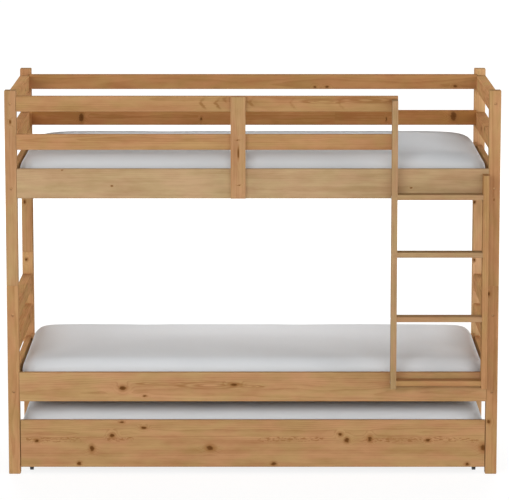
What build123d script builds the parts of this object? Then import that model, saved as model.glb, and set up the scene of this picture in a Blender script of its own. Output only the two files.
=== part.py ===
from build123d import *
from math import cos, radians, tan
import os

# Bunk bed in planed softwood, with a trundle bed that rolls out at the front.
# All sizes are in millimetres. X runs along the bed, Y from front to back, Z up.
# The origin is on the floor, in the middle of the bed and its ladder.

# Mattresses, which the bed is built round
mattress_length = 1880.0
mattress_width = 780.0
mattress_thickness = 136.0
mattress_corner = 70.0          # rounding of the corners, seen from above
mattress_edge = 58.0            # rounding of the top edges
mattress_bottom_edge = 30.0     # rounding of the bottom edges
mattress_waist = 3.0            # the sides draw in by this between their rounded edges
mattress_crown = 8.0
mattress_crown_inset = 300.0    # where the crown's flat middle begins
mattress_end_gap = 13.0         # from the mattress to the posts
mattress_side_gap = 9.5         # from the mattress to the side rails
soft_clearance = 0.3

# Posts, and the pins that join the upper to the lower ones
post_side = 47.0
lower_post_rise = 95.0          # above the lower end boards
upper_post_rise = 22.0          # above the guard rails
post_arris = 3.0                # chamfer of the four long edges
post_end_arris = 1.5
pin_radius = 5.0
pin_length = 90.0
pin_clearance = 0.15
pin_end_room = 2.0

# Side rails and what the slats lie on
rail_height = 120.0
rail_thickness = 25.0
bunk_rise = 838.0               # from the lower bunk's rails to the upper bunk's
board_arris = 2.0               # chamfer of the boards' long edges
ledger_side = 25.0
ledger_end_gap = 3.0            # from a ledger's end to the post
slat_width = 70.0
slat_thickness = 17.0
slat_count = 14
slat_end_gap = 1.5

# Guard rails
guard_height = 63.0
guard_thickness = 22.0
guard_gap_low = 78.0            # from the side rail to the lower guard rail
guard_gap_high = 92.0           # between the two guard rails
stile_width = 60.0
stile_thickness = 20.0
stile_middle = -59.0
stile_margin = 2.0              # the stile stops short of the rails' outer edges

# End boards, with stub tenons in the posts
end_board_height = 66.0
end_board_thickness = 40.0
lower_end_gap_low = 77.0        # from the deck end rail to the middle end board
lower_end_gap_high = 65.0       # between the middle and the top end board
upper_end_gap_low = 76.0
upper_end_gap_high = 93.0
end_rail_height = 110.0
end_rail_thickness = 24.0
tenon_length = 12.0
tenon_thickness = 14.0
tenon_shoulder = 8.0
tenon_clearance = 0.2

# Ladder
upright_width = 23.0
upright_depth = 65.0            # the uprights stand this far in front of the posts
ladder_width = 391.0
ladder_post_gap = 2.0
ladder_bottom_rise = 64.0       # above the bottom of the lower side rail
ladder_top_drop = 13.0          # tall upright, below the top guard rail's top
ladder_short_drop = 19.0        # short upright, below the side rail's top
guard_end_margin = 2.0          # the front guard rails pass the tall upright by this
tread_thickness = 21.0
tread_depth = 58.0
tread_setback = 3.0
tread_housing = 6.0             # how deep a tread's end sits in the upright
housing_clearance = 0.1
first_tread_rise = 33.0         # above the ladder's bottom
tread_step = 264.5
last_tread_drop = 97.0          # below the top of the upper side rail
stepped_tread_count = 3         # treads below the last one

# Trundle
panel_height = 196.0
panel_thickness = 22.0
panel_floor_gap = 29.0
panel_end_gap = 3.0
panel_recess = 1.0
trundle_board_thickness = 22.0
trundle_side_height = 55.0
trundle_side_inset = 28.0       # from the front panel's end to the outside of a side
trundle_back_height = 110.0
trundle_mattress_play = 2.0
trundle_head_gap = 41.7         # from the trundle's mattress to the lower side rails
trundle_ledger_width = 20.0
trundle_ledger_height = 25.0
trundle_slat_thickness = 15.0
trundle_slat_end_gap = 1.0

# Casters
wheel_radius = 25.0
wheel_width = 14.0
wheel_rim = 4.5                 # thickness at the ribs
wheel_web = 4.0
wheel_hub_radius = 7.0
wheel_rib = 2.0
wheel_rib_count = 6
wheel_play = 0.6
wheel_setback = 55.0            # from the front panel or back board to the axle
axle_radius = 3.0
axle_running_clearance = 0.06
axle_seat_clearance = 0.1
caster_height = 56.0
fork_sheet = 2.0
fork_plate_length = 66.0
fork_top_width = 34.0
fork_tip = 7.0                  # how far the cheeks reach past the axle
fork_tip_chamfer = 4.0

# Bolts, with their heads sunk below the face
hidden_sides = 8                # hidden shanks, pins and seats are prisms of this many sides
head_sides = 12                 # bolt heads and their counterbores are prisms of this many
bolt_radius = 3.0
bolt_head_radius = 5.0
bolt_head_height = 5.0
bolt_head_sink = 3.0
bolt_clearance = 0.2
head_clearance = 0.5
bolt_grip = 58.0                # how far a bolt reaches into the board it holds
bolt_end_room = 2.0
rail_bolt_rise = 78.0           # above the side rail's bottom edge
end_board_bolt_drop = 26.0      # below the end board's top edge
end_rail_bolt_rise = 40.0
cut_overrun = 1.0

# Faces that many pieces share
half_length = mattress_length / 2 + mattress_end_gap + post_side
deck_depth = mattress_width + 2 * mattress_side_gap
bed_depth = deck_depth + 2 * rail_thickness + post_side
front_y = (upright_depth - bed_depth) / 2
back_y = front_y + bed_depth
post_inner_x = half_length - post_side
front_post_back_y = front_y + post_side
back_post_front_y = back_y - post_side
front_rail_inner_y = front_y + rail_thickness
back_rail_inner_y = back_post_front_y - rail_thickness
end_board_inner_x = half_length - end_board_thickness
end_rail_outer_x = half_length - (post_side - end_rail_thickness) / 2
end_rail_inner_x = end_rail_outer_x - end_rail_thickness

# Levels, from the floor up
trundle_deck = caster_height + trundle_side_height
trundle_mattress_bottom = trundle_deck + trundle_slat_thickness + soft_clearance
lower_rail_bottom = trundle_mattress_bottom + mattress_thickness + trundle_head_gap
upper_rail_bottom = lower_rail_bottom + bunk_rise
rail_bottoms = {"lower": lower_rail_bottom, "upper": upper_rail_bottom}
end_gaps = {
    "lower": (lower_end_gap_low, lower_end_gap_high),
    "upper": (upper_end_gap_low, upper_end_gap_high),
}
low_guard_top = upper_rail_bottom + rail_height + guard_gap_low + guard_height
top_guard_top = low_guard_top + guard_gap_high + guard_height


def end_board_tops(level):
    """The tops of a bunk's middle and top end boards."""
    middle = rail_bottoms[level] + end_rail_height + end_gaps[level][0] + end_board_height
    return middle, middle + end_gaps[level][1] + end_board_height


split_height = end_board_tops("lower")[1] + lower_post_rise
bed_height = top_guard_top + upper_post_rise

# Ladder and trundle
ladder_right_x = post_inner_x - ladder_post_gap
ladder_left_x = ladder_right_x - ladder_width
panel_back_y = front_y + panel_recess + panel_thickness
panel_half_length = post_inner_x - panel_end_gap
trundle_back_y = panel_back_y + mattress_width + 2 * trundle_mattress_play
trundle_side_outer_x = panel_half_length - trundle_side_inset
trundle_side_inner_x = trundle_side_outer_x - trundle_board_thickness
trundle_side_x = (trundle_side_outer_x + trundle_side_inner_x) / 2

sides = {"left": -1, "right": 1}
directions = {"x": (1, 0, 0), "y": (0, 1, 0), "z": (0, 0, 1)}
section_axes = {"x": "yz", "y": "xz", "z": "xy"}


def board(x, y, z, along, arris=board_arris):
    """A planed board that fills the spans x, y and z, its long edges chamfered."""
    spans = {"x": sorted(x), "y": sorted(y), "z": sorted(z)}
    start = {name: sum(span) / 2 for name, span in spans.items()}
    start[along] = spans[along][0]
    size = {name: span[1] - span[0] for name, span in spans.items()}
    across, up = section_axes[along]
    place = Plane(tuple(start.values()), x_dir=directions[across], z_dir=directions[along])
    outline = Rectangle(size[across], size[up])
    outline = chamfer(outline.vertices(), arris)
    return extrude(place * outline, amount=size[along])


def rod(at, direction, radius, length):
    """A round rod that starts at a point and runs along a direction."""
    return extrude(Plane(origin=at, z_dir=direction) * Circle(radius), amount=length)


def prism(at, direction, radius, length, side_count=hidden_sides):
    """A rod with few sides, for what is hidden or sunk in the wood."""
    outline = RegularPolygon(radius, side_count)
    return extrude(Plane(origin=at, z_dir=direction) * outline, amount=length)


def block(middle, size):
    """A plain block round a point."""
    return Pos(*middle) * Box(*size)


# Bolts and the holes they need. Each holds a board's end to what it butts against.
def bolt_and_hole(at, direction, through):
    """A bolt sunk at a point of a face, through one piece and into the next."""
    length = through + bolt_grip - bolt_head_sink - bolt_head_height
    head_at = [a + d * bolt_head_sink for a, d in zip(at, direction)]
    shank_at = [a + d * bolt_head_height for a, d in zip(head_at, direction)]
    bore_at = [a - d * cut_overrun for a, d in zip(at, direction)]
    bore_length = cut_overrun + bolt_head_sink + bolt_head_height
    head = prism(head_at, direction, bolt_head_radius, bolt_head_height, head_sides)
    shank = prism(shank_at, direction, bolt_radius, length)
    bore = prism(bore_at, direction, bolt_head_radius + head_clearance, bore_length, head_sides)
    hole = prism(shank_at, direction, bolt_radius + bolt_clearance, length + bolt_end_room)
    return head + shank, bore + hole


def side_rail_bolts(level):
    """Bolts along the bed, through the posts and the end rails into the side rails."""
    z = rail_bottoms[level] + rail_bolt_rise
    rows = (
        (front_y + rail_thickness / 2, half_length, post_inner_x),
        (back_post_front_y - rail_thickness / 2, end_rail_outer_x, end_rail_inner_x),
    )
    return [
        bolt_and_hole((side * face_x, y, z), (-side, 0, 0), face_x - joint_x)
        for side in sides.values()
        for y, face_x, joint_x in rows
    ]


def front_post_bolts(level):
    """Bolts across the bed, through the front posts into the top board and the end rail."""
    x = half_length - post_side / 2
    levels = (
        end_board_tops(level)[1] - end_board_bolt_drop,
        rail_bottoms[level] + end_rail_bolt_rise,
    )
    return [
        bolt_and_hole((side * x, front_y, z), (0, 1, 0), post_side)
        for side in sides.values()
        for z in levels
    ]


# Posts, end boards and end rails
def tenoned_board(x, z):
    """A board between a front and a back post, with a stub tenon at each end."""
    y = (front_post_back_y, back_post_front_y)
    size = (tenon_thickness, y[1] - y[0] + 2 * tenon_length, z[1] - z[0] - 2 * tenon_shoulder)
    middle = (sum(x) / 2, sum(y) / 2, sum(z) / 2)
    mortise = block(middle, [length + 2 * tenon_clearance for length in size])
    return board(x, y, z, "y") + block(middle, size), mortise


def end_boards():
    """The two boards and the deck end rail at each end of each bunk, and their mortises."""
    pieces, mortises = {}, []
    for level in rail_bottoms:
        for side_name, side in sides.items():
            x = (side * end_board_inner_x, side * half_length)
            for place, top in zip(("middle", "top"), end_board_tops(level)):
                piece, mortise = tenoned_board(x, (top - end_board_height, top))
                pieces[f"{level}_{side_name}_end_board_{place}"] = piece
                mortises.append(mortise)
            x = (side * end_rail_inner_x, side * end_rail_outer_x)
            z = (rail_bottoms[level], rail_bottoms[level] + end_rail_height)
            piece, mortise = tenoned_board(x, z)
            pieces[f"{level}_{side_name}_deck_end_rail"] = piece
            mortises.append(mortise)
    return pieces, mortises


def posts_and_pins(mortises):
    """The eight lengths of post, mortised and bored, and the four pins between them."""
    posts, pins = {}, []
    rows = {"front": (front_y, front_post_back_y), "back": (back_post_front_y, back_y)}
    spans = {"lower": (0, split_height), "upper": (split_height, bed_height)}
    for side_name, side in sides.items():
        for row, y in rows.items():
            x = (side * post_inner_x, side * half_length)
            foot = (sum(x) / 2, sum(y) / 2, split_height - pin_length / 2)
            pins.append(prism(foot, (0, 0, 1), pin_radius, pin_length))
            hole = prism(foot, (0, 0, 1), pin_radius + pin_clearance, pin_length + pin_end_room)
            for level, z in spans.items():
                post = board(x, y, z, "z", post_arris)
                ends = post.faces().sort_by(Axis.Z)
                post = chamfer(ends[0].edges() + ends[-1].edges(), post_end_arris)
                posts[f"{row}_{side_name}_{level}_post"] = cut(post, mortises + [hole])
    return posts, pins


def cut(piece, holes):
    """The piece less each of the holes that reaches it."""
    for hole in holes:
        if piece.bounding_box().overlaps(hole.bounding_box()):
            piece = piece - hole
    return piece


# Side rails, ledgers and slats
def slat_row(x_half, y, bottom, thickness):
    """A row of slats that lie across the bed, evenly spread along it."""
    pitch = (2 * x_half - slat_width) / (slat_count - 1)
    first = slat_width / 2 - x_half
    size = (slat_width, y[1] - y[0], thickness)
    return [
        block((first + pitch * i, sum(y) / 2, bottom + thickness / 2), size) for i in range(slat_count)
    ]


def deck(level):
    """One bunk's side rails, the ledgers inside them, the slats and the mattress."""
    bottom = rail_bottoms[level]
    z = (bottom, bottom + rail_height)
    ledger_z = (bottom, bottom + ledger_side)
    half = post_inner_x - ledger_end_gap
    rows = {
        "front": (post_inner_x, front_y, front_rail_inner_y, ledger_side),
        "back": (end_rail_inner_x, back_post_front_y, back_rail_inner_y, -ledger_side),
    }
    pieces = {}
    for row, (rail_half, outer_y, inner_y, ledger_reach) in rows.items():
        pieces[f"{level}_{row}_side_rail"] = board((-rail_half, rail_half), (outer_y, inner_y), z, "x")
        ledger_y = (inner_y, inner_y + ledger_reach)
        pieces[f"{level}_{row}_ledger"] = board((-half, half), ledger_y, ledger_z, "x")
    slat_y = (front_rail_inner_y + slat_end_gap, back_rail_inner_y - slat_end_gap)
    pieces[f"{level}_slats"] = slat_row(half, slat_y, ledger_z[1], slat_thickness)
    mattress_bottom = ledger_z[1] + slat_thickness + soft_clearance
    pieces[f"{level}_mattress"] = mattress(sum(slat_y) / 2, mattress_bottom)
    return pieces


def mattress(middle_y, bottom):
    """A foam mattress: rounded corners and edges, drawn-in sides and a crowned top."""
    shoulder = mattress_thickness - mattress_crown
    side_middle = (mattress_bottom_edge + shoulder - mattress_edge) / 2
    # Four points of the top edge's quarter round, as shares of its radius: inset, then drop.
    round_shares = ((0, 1), (0.134, 0.5), (0.5, 0.134), (1, 0))
    rings = [(mattress_bottom_edge, 0), (0, mattress_bottom_edge), (mattress_waist, side_middle)]
    rings += [(mattress_edge * inset, shoulder - mattress_edge * drop) for inset, drop in round_shares]
    rings.append((mattress_crown_inset, mattress_thickness))
    outlines = []
    for inset, height in rings:
        corner = mattress_corner - min(inset, mattress_edge)
        size = (mattress_length - 2 * inset, mattress_width - 2 * inset)
        outlines.append(Pos(0, middle_y, bottom + height) * RectangleRounded(*size, corner))
    return loft(outlines, ruled=True)


# Guard rails, stile and ladder
def guards():
    """Two guard rails at the front and two at the back of the upper bunk, and the stile."""
    pieces = {}
    front_end = ladder_left_x + upright_width + guard_end_margin
    rows = {
        "front": ((-post_inner_x, front_end), (front_y, front_y + guard_thickness)),
        "back": (
            (-end_board_inner_x, end_board_inner_x),
            (back_post_front_y - guard_thickness, back_post_front_y),
        ),
    }
    for row, (x, y) in rows.items():
        for place, top in (("lower", low_guard_top), ("top", top_guard_top)):
            pieces[f"{row}_guard_rail_{place}"] = board(x, y, (top - guard_height, top), "x")
    x = (stile_middle - stile_width / 2, stile_middle + stile_width / 2)
    z = (upper_rail_bottom + stile_margin, top_guard_top - stile_margin)
    pieces["guard_stile"] = board(x, (front_y - stile_thickness, front_y), z, "z")
    return pieces


def ladder():
    """A tall and a short upright on the front of the rails, and treads housed in them."""
    pieces = {}
    upright_front_y = front_y - upright_depth
    y = (upright_front_y + tread_setback, upright_front_y + tread_setback + tread_depth)
    x = (
        ladder_left_x + upright_width - tread_housing,
        ladder_right_x - upright_width + tread_housing,
    )
    ladder_bottom = lower_rail_bottom + ladder_bottom_rise
    first_top = ladder_bottom + first_tread_rise
    tops = [first_top + tread_step * number for number in range(stepped_tread_count)]
    upper_rail_top = upper_rail_bottom + rail_height
    tops.append(upper_rail_top - last_tread_drop)
    housings = []
    for number, top in enumerate(tops, start=1):
        z = (top - tread_thickness, top)
        pieces[f"ladder_tread_{number}"] = board(x, y, z, "x")
        room = [(span[0] - housing_clearance, span[1] + housing_clearance) for span in (x, y, z)]
        housings.append(board(*room, "x", board_arris))
    uprights = {
        "left": (ladder_left_x, top_guard_top - ladder_top_drop),
        "right": (ladder_right_x - upright_width, upper_rail_top - ladder_short_drop),
    }
    for name, (left, top) in uprights.items():
        blank = board(
            (left, left + upright_width), (upright_front_y, front_y), (ladder_bottom, top), "z", post_arris
        )
        pieces[f"ladder_{name}_upright"] = cut(blank, housings)
    return pieces


# Trundle
def trundle():
    """The front panel and the low box behind it, with its slats and mattress."""
    pieces = {}
    x = (-panel_half_length, panel_half_length)
    z = (panel_floor_gap, panel_floor_gap + panel_height)
    pieces["trundle_front_panel"] = board(x, (panel_back_y - panel_thickness, panel_back_y), z, "x")
    x = (-trundle_side_outer_x, trundle_side_outer_x)
    y = (trundle_back_y, trundle_back_y + trundle_board_thickness)
    pieces["trundle_back_board"] = board(x, y, (caster_height, caster_height + trundle_back_height), "x")
    for side_name, side in sides.items():
        x = (side * trundle_side_inner_x, side * trundle_side_outer_x)
        y = (panel_back_y, trundle_back_y)
        pieces[f"trundle_{side_name}_side"] = board(x, y, (caster_height, trundle_deck), "y")
    x = (-trundle_side_inner_x, trundle_side_inner_x)
    z = (trundle_deck - trundle_ledger_height, trundle_deck)
    pieces["trundle_ledgers"] = [
        board(x, (panel_back_y, panel_back_y + trundle_ledger_width), z, "x"),
        board(x, (trundle_back_y - trundle_ledger_width, trundle_back_y), z, "x"),
    ]
    y = (panel_back_y + trundle_slat_end_gap, trundle_back_y - trundle_slat_end_gap)
    pieces["trundle_slats"] = slat_row(trundle_side_inner_x, y, trundle_deck, trundle_slat_thickness)
    pieces["trundle_mattress"] = mattress(sum(y) / 2, trundle_mattress_bottom)
    return pieces


def wheel():
    """A moulded wheel on the X axis round the origin, with pockets between its ribs."""
    half_width = wheel_width / 2
    body = rod((-half_width, 0, 0), (1, 0, 0), wheel_radius, wheel_width)
    body -= rod((-half_width, 0, 0), (1, 0, 0), axle_radius + axle_running_clearance, wheel_width)
    pitch = 360 / wheel_rib_count
    half_pitch = radians(pitch / 2)
    outer = (wheel_radius - wheel_rim) * cos(half_pitch)
    inner_half, outer_half = [
        along * tan(half_pitch) - wheel_rib / 2 / cos(half_pitch)
        for along in (wheel_hub_radius, outer)
    ]
    outline = Polygon(
        (-inner_half, wheel_hub_radius),
        (inner_half, wheel_hub_radius),
        (outer_half, outer),
        (-outer_half, outer),
        align=None,
    )
    depth = (wheel_width - wheel_web) / 2
    for face_x, inward in ((-half_width, 1), (half_width, -1)):
        face = Plane((face_x, 0, 0), x_dir=(0, 1, 0), z_dir=(1, 0, 0))
        pocket = extrude(face * outline, amount=inward * depth)
        for number in range(wheel_rib_count):
            body -= Rot(pitch * number, 0, 0) * pocket
    return body


def fork():
    """A sheet steel fork over a wheel at the origin: a plate and two cheeks."""
    plate_top = caster_height - wheel_radius
    inner = wheel_width / 2 + wheel_play
    plate_size = (2 * (inner + fork_sheet), fork_plate_length, fork_sheet)
    plate = block((0, 0, plate_top - fork_sheet / 2), plate_size)
    half_top = fork_top_width / 2
    outline = Polygon(
        (-half_top, plate_top - fork_sheet),
        (-fork_tip, -fork_tip),
        (fork_tip, -fork_tip),
        (half_top, plate_top - fork_sheet),
        align=None,
    )
    tip_corners = outline.vertices().sort_by(Axis.Y)[:2]
    seat = RegularPolygon(axle_radius + axle_seat_clearance, hidden_sides, major_radius=False)
    outline = chamfer(tip_corners, fork_tip_chamfer) - seat
    cheek_plane = Plane((inner, 0, 0), x_dir=(0, 1, 0), z_dir=(1, 0, 0))
    cheek = extrude(cheek_plane * outline, amount=fork_sheet)
    return plate + cheek + mirror(cheek, Plane.YZ)


def casters():
    """Four wheels, and their forks and axle pins."""
    pieces = {"caster_forks": [], "caster_axles": []}
    reach = wheel_width / 2 + wheel_play + fork_sheet
    rows = {"front": panel_back_y + wheel_setback, "back": trundle_back_y - wheel_setback}
    for side_name, side in sides.items():
        for row, y in rows.items():
            place = Pos(side * trundle_side_x, y, wheel_radius)
            pieces[f"trundle_wheel_{row}_{side_name}"] = place * wheel()
            pieces["caster_forks"].append(place * fork())
            pin = rod((-reach, 0, 0), (1, 0, 0), axle_radius, 2 * reach)
            pieces["caster_axles"].append(place * pin)
    return pieces


def whole_bed():
    """Every piece by name. A list holds like pieces that share one name."""
    pieces, mortises = end_boards()
    posts, pins = posts_and_pins(mortises)
    pieces.update(posts)
    for level in rail_bottoms:
        pieces.update(deck(level))
    rail_bolts = [pair for level in rail_bottoms for pair in side_rail_bolts(level)]
    post_bolts = [pair for level in rail_bottoms for pair in front_post_bolts(level)]
    holes = [hole for bolt, hole in rail_bolts + post_bolts]
    for name in pieces:
        if name.endswith(("post", "side_rail", "end_rail", "board_top")):
            pieces[name] = cut(pieces[name], holes)
    pieces.update(guards() | ladder() | trundle() | casters())
    pieces["post_pins"] = pins
    pieces["side_rail_bolts"] = [bolt for bolt, hole in rail_bolts]
    pieces["front_post_bolts"] = [bolt for bolt, hole in post_bolts]
    return pieces


os.makedirs("parts", exist_ok=True)
for name, piece in whole_bed().items():
    shape = Compound(children=piece) if isinstance(piece, list) else piece
    export_step(shape, f"parts/{name}.step")
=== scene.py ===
import math
import random

import bmesh
import bpy
from mathutils import Matrix, Vector, noise


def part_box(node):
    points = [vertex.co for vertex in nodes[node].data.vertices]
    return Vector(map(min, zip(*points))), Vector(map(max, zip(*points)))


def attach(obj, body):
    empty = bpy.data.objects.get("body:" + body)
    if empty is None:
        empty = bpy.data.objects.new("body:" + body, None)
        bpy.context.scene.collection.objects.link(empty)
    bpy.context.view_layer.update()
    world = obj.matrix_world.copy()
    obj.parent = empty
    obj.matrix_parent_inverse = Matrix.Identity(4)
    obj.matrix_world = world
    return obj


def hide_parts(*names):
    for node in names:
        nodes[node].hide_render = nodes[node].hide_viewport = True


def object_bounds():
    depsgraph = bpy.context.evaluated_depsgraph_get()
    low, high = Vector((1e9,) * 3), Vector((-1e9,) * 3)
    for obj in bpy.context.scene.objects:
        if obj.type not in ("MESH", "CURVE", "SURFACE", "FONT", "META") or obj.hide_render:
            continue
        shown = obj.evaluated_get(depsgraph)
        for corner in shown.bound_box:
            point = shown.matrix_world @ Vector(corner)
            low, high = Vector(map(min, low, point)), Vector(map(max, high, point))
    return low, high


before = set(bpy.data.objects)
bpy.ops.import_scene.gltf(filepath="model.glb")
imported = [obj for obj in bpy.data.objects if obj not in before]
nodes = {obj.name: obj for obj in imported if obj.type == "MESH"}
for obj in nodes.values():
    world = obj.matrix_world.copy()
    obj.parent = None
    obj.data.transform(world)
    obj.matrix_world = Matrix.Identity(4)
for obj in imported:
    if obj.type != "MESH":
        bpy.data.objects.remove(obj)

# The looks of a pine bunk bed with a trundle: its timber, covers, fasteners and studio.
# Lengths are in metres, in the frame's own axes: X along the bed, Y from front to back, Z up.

cad_low, cad_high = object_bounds()

# Camera
millimetres = 1000               # in a metre
camera_place = (0.0072, -12.6425, 2.940)
camera_tilt = math.radians(80.67)
camera_sensor = 0.036
camera_focal_share = 3056.4 / 509
camera_sight = 100.0

# Studio
# Lamps: place, width, height and power. All aim at the middle of the bed.
lamps = {
    "front": ((0.0, -13.0, 3.0), 8.0, 4.0, 460),
    "front_left": ((-6.0, -11.0, 5.0), 5.0, 4.0, 410),
    "front_right": ((6.0, -11.0, 5.0), 5.0, 4.0, 200),
    "back": ((0.0, 10.0, 5.0), 8.0, 4.0, 540),
    "back_high": ((0.0, 7.0, 9.0), 8.0, 4.0, 370),
    "left": ((-10.0, -3.0, 4.0), 4.0, 4.0, 330),
    "right": ((10.0, -3.0, 4.0), 4.0, 4.0, 400),
}
ambient_colour = (0.97, 0.98, 1.0)
ambient_strength = 0.13
white = (1.0, 1.0, 1.0)
floor_half_width = 30.0
floor_squares = 8
floor_colour = (0.80, 0.80, 0.80)
floor_shade = (0.25, 0.25, 0.25)     # how much of the light and shade on the floor shows
floor_glow = 0.840                   # how white the floor is apart from that, near the bed
floor_glow_reach = (2.5, 7.0)        # between these distances the glow grows to full white

# Noise
noise_detail = 3.0
noise_roughness = 0.6

# Pine: where a board lies in its log
ring_spacing = 0.0052
log_start = 40.0                     # the log's noise starts anywhere within this
slat_log_step = (1.3, 1.7)           # how far apart in the log neighbouring slats are sawn
splice_log_step = (3, 9)
log_slope = 0.012
pith_across_share = 0.35             # of the board's width
pith_distance = (0.018, 0.055)
warp_depth = 0.0312
ring_waver = 0.9                     # in rings, as are the next five
ring_wander = 4.0
knot_push = 2.4
flame_push = 1.2
late_start = 0.30
late_peak = 0.93

# Pine: how fine each noise is, per metre along and across the grain
wave_scale = (1.4, 5.0)
small_scale = (9.0, 60.0)
rough_scale = (70.0, 110.0)
fibre_scale = (30.0, 900.0)
streak_scale = (3.2, 30.0)
mottle_scale = (13.0, 38.0)
hue_scale = (7.0, 22.0)
fleck_scale = (55.0, 190.0)

# Pine: how dark each part of the figure is, as a share of the way from early to late wood
late_depth = 0.34
late_least_depth = 0.11
streak_depth = 1.1
mottle_depth = 0.75
fibre_depth = 0.40
plain_depth = 0.18
most_depth = 1.3

# Pine: colours and tones
early_wood = (0.490, 0.286, 0.133)
late_wood = (0.322, 0.161, 0.063)
yellow_patch = (0.976, 1.025, 0.958)
pink_patch = (1.036, 0.953, 0.988)
hue_turn = (-0.18, 0.18)
redness_shares = (0.0, 0.09, 0.20)   # what one unit of red takes from each channel
tone_spread = 0.02
# End boards are painted paler: painted light on their inner faces, which face the bed's ends
end_board_painted_light = 1.27
slat_look = (1.02, 0.1)              # tone and red
hidden_tones = (0.98, 1.04)
hidden_reds = (0.0, 0.5)
board_seed = 1000                    # keeps a board's own draws apart from its log's

# Pine: knots. Reaches are in a knot's own size.
knot_heart = (0.106, 0.037, 0.009)
knot_halo = (0.300, 0.132, 0.044)
knot_push_reach = (4.0, 0.6)
halo_reach = (2.4, 0.8)
halo_strength = 0.70
heart_reach = (1.15, 0.55)
heart_strength = 0.95
heart_ring_count = 2.2
heart_ring_strength = 0.2
knots_per_metre = (0.5, 2.2)
knot_radius = (0.003, 0.009)
knot_width_share = 0.3               # a knot's most radius, in the board's half width
knot_spread_shares = (0.95, 0.8)     # how far out knots lie along and across the board
knot_length_share = 1.3

# Pine: other marks
mark_shift_along = 0.018
mark_shift_across = 0.008
flame_reach = 1.35
flame_loops = ((1.0, 0.35, 0.62), (0.45, 0.28, 0.60))    # place, half width and depth of each
tip_slant = 0.85
tip_line = 0.0110
tip_full_share = 0.4                 # of its half width, over which a tip is at its darkest
tip_arm_shares = (0.6, -0.2)         # of its half width, between which its upper arm grows faint
tip_upper_arm = 0.35
fleck_turn = (-0.01, 0.10)
pith_waver_place = (0.3, 0.7)
pith_waver_scale = 12.0
pith_waver = 2.0
pith_full_share = 0.3
pith_length_share = 0.8

# Pine: surface
end_grain_turn = (0.75, 0.95)
end_grain_strength = 0.30
end_grain_tone = 0.62
arris_turn = (0.97, 0.85)
rub_least = 0.55
rub_strength = 0.30
rub_tone = 1.12
timber_roughness = 0.72
fibre_roughness = 0.20
late_roughness = -0.08
fibre_relief = 0.7
late_relief = 0.5
timber_relief = 0.00025

# Mattress covers: shape
weld_distance = 1e-6
cover_voxel = 0.015
cover_smoothings = 3
cover_shrink = 0.001
cover_swell = 0.006
cover_end_swell = 0.008
cover_side_swell = 0.0015
cover_play = 0.0012                  # the least room left between a cover and the boards beside it
cover_frames = 20
cover_end_slope = 0.24               # over this length a cover's top slopes down to its end
cover_dent = 0.003                   # depth of the shallow dents in a cover's top
cover_dent_scale = 4.5
foam_settings = {
    "quality": 4,
    "mass": 0.25,
    "tension_stiffness": 12,
    "compression_stiffness": 12,
    "shear_stiffness": 4,
    "bending_stiffness": 0.4,
    "use_pressure": True,
    "uniform_pressure_force": 4,
}
# By mattress: body, whether head and foot are swapped, loft, ease, tone, board before, board behind.
# Loft is how much taller than the shared form it stands, ease is the share of its height that it
# loses at its ends, and tone is how pale its cover is painted: all three are the same white cloth, and
# a darker tone is painted shade, a paler one painted light.
mattresses = {
    "lower_mattress": ("bed_frame", False, 1.070, 0.04, 0.86, "lower_front_side_rail",
                       "lower_back_side_rail"),
    "upper_mattress": ("bed_frame", True, 1.088, 0.12, 0.77, "upper_front_side_rail",
                       "upper_back_side_rail"),
    "trundle_mattress": ("trundle", True, 1.070, 0.04, 0.82, "trundle_front_panel",
                         "trundle_back_board"),
}

# Mattress covers: cloth
# One white cloth, lit and in painted shade: soft patches of painted shade mix the two
pale_cloth = (0.785, 0.807, 0.828)
shaded_cloth = (0.750, 0.771, 0.791)
seam_colour = (0.50, 0.50, 0.51)
seam_strength = 0.35
cover_knit = 0.0016
stitch_pitch = 0.004
yarn_scale = 700.0
yarn_roughness = 0.65
cloth_shade_scale = 5.0
seam_height_share = 0.22
seam_edge = (0.0022, 0.0006)
stitch_edge = (0.0045, 0.0030)
knit_relief = 0.16
yarn_relief = 0.35
seam_relief = -3.0
stitch_relief = 0.35
cloth_relief = 0.00030
cloth_roughness = 0.92
cloth_gloss = 0.25
cloth_sheen = 0.12
cloth_sheen_roughness = 0.55

# Steel and plastic
zinc_look = ((0.70, 0.69, 0.67), (0.56, 0.56, 0.57), 0.20)       # bright, dull, least roughness
bronze_look = ((0.48, 0.28, 0.13), (0.32, 0.17, 0.075), 0.34)
steel_cloud_scale = 180.0
steel_grain_scale = 2600.0
steel_roughness_spread = 0.22
steel_relief = 0.00004
clean_plastic = (0.009, 0.009, 0.010)
dusty_plastic = (0.020, 0.020, 0.021)
plastic_grain_scale = 1400.0
plastic_dust_scale = 60.0
plastic_dust_turn = (0.45, 0.75)
plastic_roughness = 0.38
plastic_roughness_spread = 0.20
plastic_relief = 0.00012

# Fasteners
sides_round = 24
sharp_angle = math.radians(35)
bolt_head_height_share = 0.66        # of the head's radius, as is the next
bolt_shank_share = 0.58
bolt_tip_shares = (0.3, 0.8)         # of the shank's radius: length and radius of its tip
bolt_head_shares = ((1.0, 1.0), (0.45, 1.0), (0.12, 0.90), (0.0, 0.74))
bolt_socket = 0.0020
bolt_socket_share = 0.6              # of the head's height
bolt_socket_end_shares = (0.75, 0.15)
screw_head = 0.0042
# Rings of a screw, in its head's radius: height and radius of the round ones, then height, waist
# and tip of the cross recess
screw_round_shares = ((-1.1, 0.45), (-0.12, 0.97), (0.02, 1.0), (0.08, 0.93))
screw_cross_shares = ((0.09, 0.20, 0.62), (-0.45, 0.10, 0.34))
cross_sharpness = 6
box_slack = 1e-5
head_edge_share = 0.8                # a bolt's head is what lies further out than this
tread_count = 4
ledger_screw_count = 7
ledger_screw_margin = 0.08
stile_screw_margin = 0.016
tread_screw_margin = 0.014
back_board_screw_margin = 0.014
fork_screw_margin = 0.008
fork_sheet = 0.002                   # thickness of the caster forks' steel


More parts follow.
